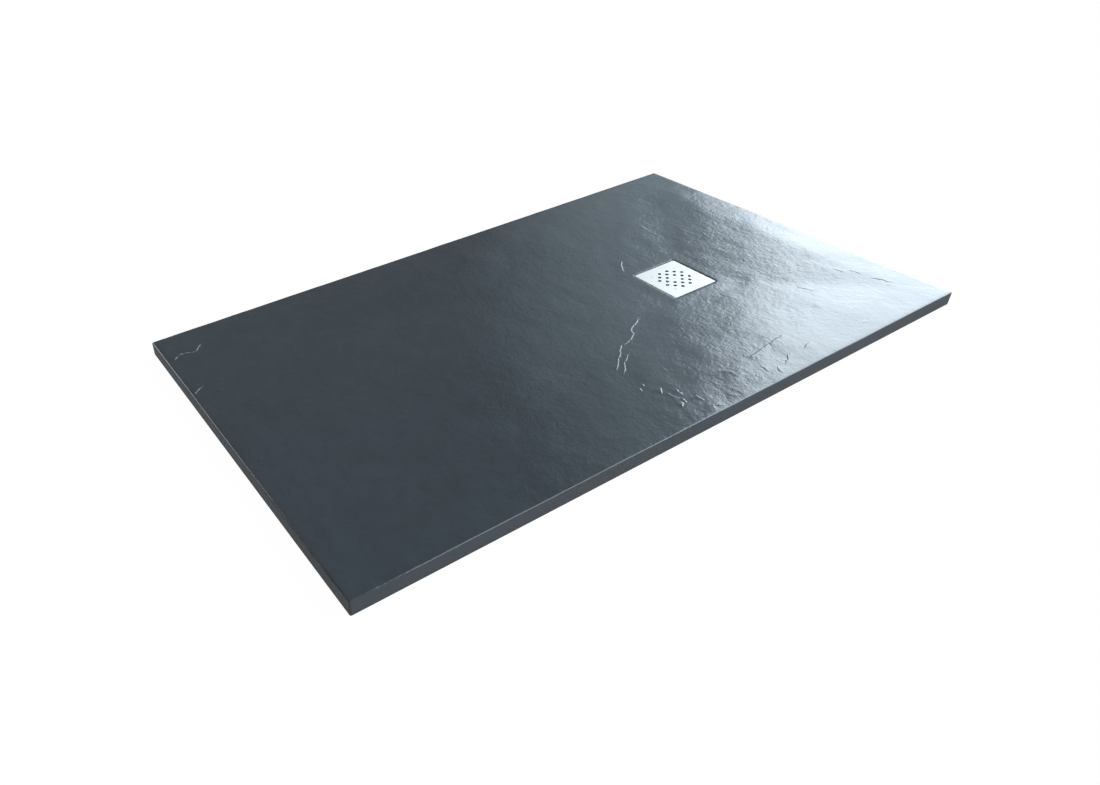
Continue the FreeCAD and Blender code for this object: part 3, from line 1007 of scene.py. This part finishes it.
# ---- finishes of the metal pieces ----
def grille_steel_finish():
    """Stainless sheet brushed along the tray, with faint marks where pins are welded below."""
    finish = new_finish("brushed_grille_steel")
    brushing = finish.cloud(0.5 * mm, 3, stretch=(0.02, 1, 1))
    haze = finish.cloud(22 * mm, 3, bend=0.4)
    reach = (pins_high.x - pins_low.x) / 2 - pin_radius
    marks = finish.spot(waste_x, waste_y, weld_mark_radius)
    for side_x, side_y in ((1, 1), (1, -1), (-1, 1), (-1, -1)):
        pin_x, pin_y = waste_x + side_x * reach, waste_y + side_y * reach
        marks = marks + finish.spot(pin_x, pin_y, weld_mark_radius)
    shade = haze * 0.5 + brushing * 0.5
    color = finish.blend(tone(0.52, 0.51, 0.49), tone(0.48, 0.47, 0.45), shade)
    color = finish.blend(color, tone(0.24, 0.23, 0.22), marks * 0.8)
    roughness = 0.46 + brushing * 0.06 + haze * 0.03 + marks * 0.1
    return finish.surface(color, roughness, brushing * 0.012 + marks * 0.02, Metallic=1.0)


def shaded_hole_wall_finish():
    """Walls of the holes: dull, torn across, and dark as painted shade inside the holes."""
    finish = new_finish("hole_wall_painted_shade")
    tear = finish.cloud(0.4 * mm, 2, stretch=(1, 1, 0.2))
    stain = finish.cloud(5 * mm, 2)
    # Painted shade: dark walls make the holes read as dark openings.
    color = finish.blend(tone(0.09, 0.09, 0.09), tone(0.14, 0.135, 0.13), stain)
    return finish.surface(color, 0.6 + tear * 0.2, tear * 0.03, Metallic=1.0)


def turned_steel_finish():
    """Pins turned on a lathe, with rings round their length."""
    finish = new_finish("turned_pin_steel")
    rings = finish.cloud(0.35 * mm, 2, stretch=(0.1, 0.1, 1))
    stain = finish.cloud(6 * mm, 3)
    color = finish.blend(tone(0.62, 0.62, 0.63), tone(0.74, 0.74, 0.75), stain)
    return finish.surface(color, 0.26 + rings * 0.2, rings * 0.02, Metallic=1.0)


def screw_steel_finish():
    finish = new_finish("pressed_screw_steel")
    grain = finish.cloud(0.6 * mm, 2)
    stain = finish.cloud(5 * mm, 3)
    color = finish.blend(tone(0.60, 0.60, 0.60), tone(0.76, 0.76, 0.77), stain)
    return finish.surface(color, 0.28 + grain * 0.18, grain * 0.015, Metallic=1.0)


def brass_finish():
    finish = new_finish("cut_brass")
    knurl = finish.cloud(0.8 * mm, 1, stretch=(1, 1, 0.15))
    tarnish = finish.cloud(4 * mm, 3)
    color = finish.blend(tone(0.78, 0.58, 0.25), tone(0.55, 0.38, 0.16), tarnish)
    return finish.surface(color, 0.3 + tarnish * 0.25, knurl * 0.1, Metallic=1.0)


# ---- finishes of the moulded and soft pieces ----
def moulded_finish(name, pale, deep, gloss_loss, stipple, flow):
    """Injection-moulded plastic: spark-eroded stipple, flow clouds and small scuffs."""
    finish = new_finish(name)
    pebble = finish.cloud(stipple, 2)
    drift = finish.cloud(flow, 3, bend=0.6)
    scuffs = finish.ramp(
        finish.cloud(7 * mm, 5, stretch=(0.25, 1, 0.6), bend=1.5), (0.56, 0.0), (0.66, 1.0)
    )
    color = finish.blend(deep, pale, drift * 0.7 + pebble * 0.3)
    roughness = gloss_loss + pebble * 0.12 + scuffs * 0.15
    return finish.surface(color, roughness, pebble * 0.05 + scuffs * 0.01)


def rubber_finish(name, pale, deep, bloom_size):
    """Rubber with a dusty bloom."""
    finish = new_finish(name)
    bloom = finish.cloud(bloom_size, 4, bend=0.8)
    skin_grain = finish.cloud(0.7 * mm, 2)
    color = finish.blend(deep, pale, bloom)
    return finish.surface(color, 0.6 + bloom * 0.25, skin_grain * 0.04)


def dress_nodes():
    """Finishes of the pieces that keep their construction shape."""
    white_plastic = moulded_finish(
        "trap_white_plastic", tone(0.80, 0.80, 0.78), tone(0.68, 0.68, 0.66),
        0.34, 0.9 * mm, 35 * mm,
    )
    flange_plastic = moulded_finish(
        "flange_black_plastic", tone(0.050, 0.052, 0.055), tone(0.034, 0.036, 0.039),
        0.28, 0.6 * mm, 22 * mm,
    )
    grey_plastic = moulded_finish(
        "strainer_grey_plastic", tone(0.095, 0.10, 0.105), tone(0.070, 0.074, 0.079),
        0.36, 0.7 * mm, 15 * mm,
    )
    cup_plastic = moulded_finish(
        "insert_grey_plastic", tone(0.55, 0.57, 0.60), tone(0.44, 0.46, 0.49),
        0.26, 0.8 * mm, 18 * mm,
    )
    nut_plastic = moulded_finish(
        "nut_black_plastic", tone(0.060, 0.062, 0.066), tone(0.035, 0.036, 0.039),
        0.38, 0.8 * mm, 20 * mm,
    )
    ring_plastic = moulded_finish(
        "slip_ring_plastic", tone(0.70, 0.71, 0.72), tone(0.60, 0.61, 0.62),
        0.3, 0.6 * mm, 12 * mm,
    )
    seal_rubber = rubber_finish(
        "seal_rubber", tone(0.045, 0.044, 0.043), tone(0.018, 0.018, 0.018), 9 * mm
    )
    pad_rubber = rubber_finish(
        "pad_rubber", tone(0.09, 0.09, 0.09), tone(0.05, 0.05, 0.05), 4 * mm
    )
    pin_steel = turned_steel_finish()
    wardrobe = {
        "grille_feet": pin_steel,
        "grille_pads": pad_rubber,
        "grille_centre_pin": pin_steel,
        "hair_strainer": grey_plastic,
        "clamp_flange": flange_plastic,
        "flange_gasket": seal_rubber,
        "flange_screws": screw_steel_finish(),
        "screw_inserts": brass_finish(),
        "throat_seal": seal_rubber,
        "body_gasket": seal_rubber,
        "trap_body": white_plastic,
        "dip_tube": cup_plastic,
        "dip_tube_seal": seal_rubber,
        "trap_cup": cup_plastic,
        "outlet_tail": white_plastic,
        "outlet_seal_ring": seal_rubber,
        "outlet_slip_ring": ring_plastic,
        "outlet_union_nut": nut_plastic,
    }
    for node, finish in wardrobe.items():
        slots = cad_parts[node].data.materials
        if not slots:
            slots.append(finish)
        for index in range(len(slots)):
            slots[index] = finish


# ---- floor and light ----
floor_size = 30.0
floor_overlap = 10 * mm
floor_glow = 0.985
sky_level = 0.214
window_azimuth = -5.0
window_height = 26.3
window_reach_x = 0.752
window_reach_y = 0.4136
window_glow = (6.9, 7.85, 8.65)
window_full = 0.85
window_gone = 1.15
halo_glow = (1.12, 1.42, 1.60)
halo_full = 0.9
halo_half = 1.33
halo_gone = 1.8
front_glow = (3.7, 4.0, 4.2)
# The panel's borders, as parts of a direction that is 1 long; y counts from half.
panel_x_from = 0.29
panel_x_full = 0.36
panel_y_full = 0.50
panel_y_gone = 0.64
panel_z_from = 0.30
panel_z_full = 0.45
horizon_full = 0.02
horizon_gone = 0.12
least_depth = 0.05
rear_azimuth = 117.0
rear_height = 22.0
rear_reach = 0.26
rear_radiance = 4.0
rear_tint = (0.82, 0.92, 1.0)
rear_distance = 40.0


def seen_directly(finish, near_horizon=None):
    """1 for rays from the camera, and for those mirrored or let through to the backdrop."""
    rays = finish.node("ShaderNodeLightPath", {}, {}).socket.node.outputs
    camera = Level(finish, rays["Is Camera Ray"])
    mirrored = finish.sum_of(
        "MAXIMUM", Level(finish, rays["Is Glossy Ray"]),
        Level(finish, rays["Is Transmission Ray"]),
    )
    if near_horizon is not None:
        mirrored = mirrored * near_horizon
    return finish.sum_of("MAXIMUM", camera, mirrored)


def make_sky():
    """A wide soft window low on the right, which the slate mirrors, with a halo, a panel
    over the front right, dim light from all round, and a white backdrop."""
    world = bpy.data.worlds.new("studio")
    bpy.context.scene.world = world
    finish = Finish(world)
    direction = finish.node("ShaderNodeTexCoord", {}, {}, "Generated")
    part_x, part_y, part_z = [
        finish.node("ShaderNodeSeparateXYZ", {}, {0: direction}, axis) for axis in "XYZ"
    ]
    low_band = finish.ramp(part_z, (horizon_full, 1.0), (horizon_gone, 0.0))
    ahead, aside, above = [
        finish.node(
            "ShaderNodeVectorMath", {"operation": "DOT_PRODUCT"},
            {0: direction, 1: tuple(axis)}, "Value",
        )
        for axis in toward(window_azimuth, window_height)
    ]
    depth = finish.sum_of("MAXIMUM", ahead, least_depth)
    out_x = finish.sum_of("DIVIDE", aside, depth) * (1 / window_reach_x)
    out_y = finish.sum_of("DIVIDE", above, depth) * (1 / window_reach_y)
    reach = (out_x * out_x + out_y * out_y) ** 0.5 * 0.5
    near = finish.ramp(
        reach, (halo_full / 2, 1.0), (halo_half / 2, 0.5), (halo_gone / 2, 0.0)
    )
    inside = finish.soft_ramp(reach, (window_full / 2, 1.0), (window_gone / 2, 0.0))
    panel = (
        finish.soft_ramp(part_x, (panel_x_from, 0.0), (panel_x_full, 1.0))
        * finish.soft_ramp(part_y * 0.5 + 0.5, (panel_y_full, 1.0), (panel_y_gone, 0.0))
        * finish.soft_ramp(part_z, (panel_z_from, 0.0), (panel_z_full, 1.0))
    )
    color = finish.blend(tone(sky_level, sky_level, sky_level), tone(*front_glow), panel)
    color = finish.blend(color, tone(*halo_glow), near * (1 - panel))
    color = finish.blend(color, tone(*window_glow), inside)
    white = finish.node("ShaderNodeBackground", {}, {"Color": tone(1, 1, 1), "Strength": 1.0})
    plain = finish.node("ShaderNodeBackground", {}, {"Color": color, "Strength": 1.0})
    mixed = finish.node("ShaderNodeMixShader", {}, {
        0: seen_directly(finish, low_band), 1: plain, 2: white,
    })
    finish.close("ShaderNodeOutputWorld", mixed)


def floor_finish():
    """Pale floor that takes the object's shadow and is open to a view from below."""
    finish = new_finish("pale_floor")
    card = finish.node("ShaderNodeBsdfDiffuse", {}, {"Color": tone(0.86, 0.86, 0.86)})
    glow = finish.node("ShaderNodeEmission", {}, {"Color": tone(1, 1, 1), "Strength": 1.0})
    shown = finish.node("ShaderNodeMixShader", {}, {
        0: seen_directly(finish) * floor_glow, 1: card, 2: glow,
    })
    behind = finish.node("ShaderNodeNewGeometry", {}, {}, "Backfacing")
    clear = finish.node("ShaderNodeBsdfTransparent", {}, {})
    mixed = finish.node("ShaderNodeMixShader", {}, {0: behind, 1: shown, 2: clear})
    return finish.close("ShaderNodeOutputMaterial", mixed)


def make_floor():
    """Floor round the tray's foot, with an opening below the tray for the trap."""
    mesh = bmesh.new()
    inner = (half_length - floor_overlap, half_width - floor_overlap)
    loops = []
    for reach_x, reach_y in ((floor_size, floor_size), inner):
        corners = ((-1, -1), (1, -1), (1, 1), (-1, 1))
        loops.append([mesh.verts.new((reach_x * x, reach_y * y, 0)) for x, y in corners])
    skin(mesh, *loops)
    floor = add_piece("floor", mesh, [floor_finish()])


def make_rear_lamp():
    """A far round lamp behind the tray, a little to the left; a radiance of 1 is white."""
    size = 2 * rear_distance * rear_reach
    light = bpy.data.lights.new("rear window", "AREA")
    light.shape = "ELLIPSE"
    light.size = size
    light.size_y = size
    light.energy = rear_radiance * math.pi * math.pi * size * size / 4
    light.color = rear_tint
    lamp = bpy.data.objects.new("rear window", light)
    bpy.context.scene.collection.objects.link(lamp)
    ahead, _, _ = toward(rear_azimuth, rear_height)
    lamp.location = ahead * rear_distance
    lamp.rotation_euler = ahead.to_track_quat("Z", "Y").to_euler()
    lamp.visible_camera = False


def make_camera():
    data = bpy.data.cameras.new("camera")
    data.sensor_fit = "HORIZONTAL"
    data.sensor_width = sensor_width
    data.lens = focal_pixels / photo_width * sensor_width
    data.shift_x = (photo_width / 2 - principal_point) / photo_width
    data.clip_start = 0.01
    camera = bpy.data.objects.new("camera", data)
    bpy.context.scene.collection.objects.link(camera)
    right, up, ahead = camera_axes()
    axes = Matrix((right, up, -ahead)).transposed()
    camera.matrix_world = Matrix.Translation(eye) @ axes.to_4x4()
    bpy.context.scene.camera = camera


make_tray([slate_face_finish(), trimmed_edge_finish(), raw_back_finish()])
make_grille(grille_steel_finish(), shaded_hole_wall_finish())
dress_nodes()
make_floor()
make_sky()
make_rear_lamp()
make_camera()
bpy.context.scene.view_settings.view_transform = "Standard"
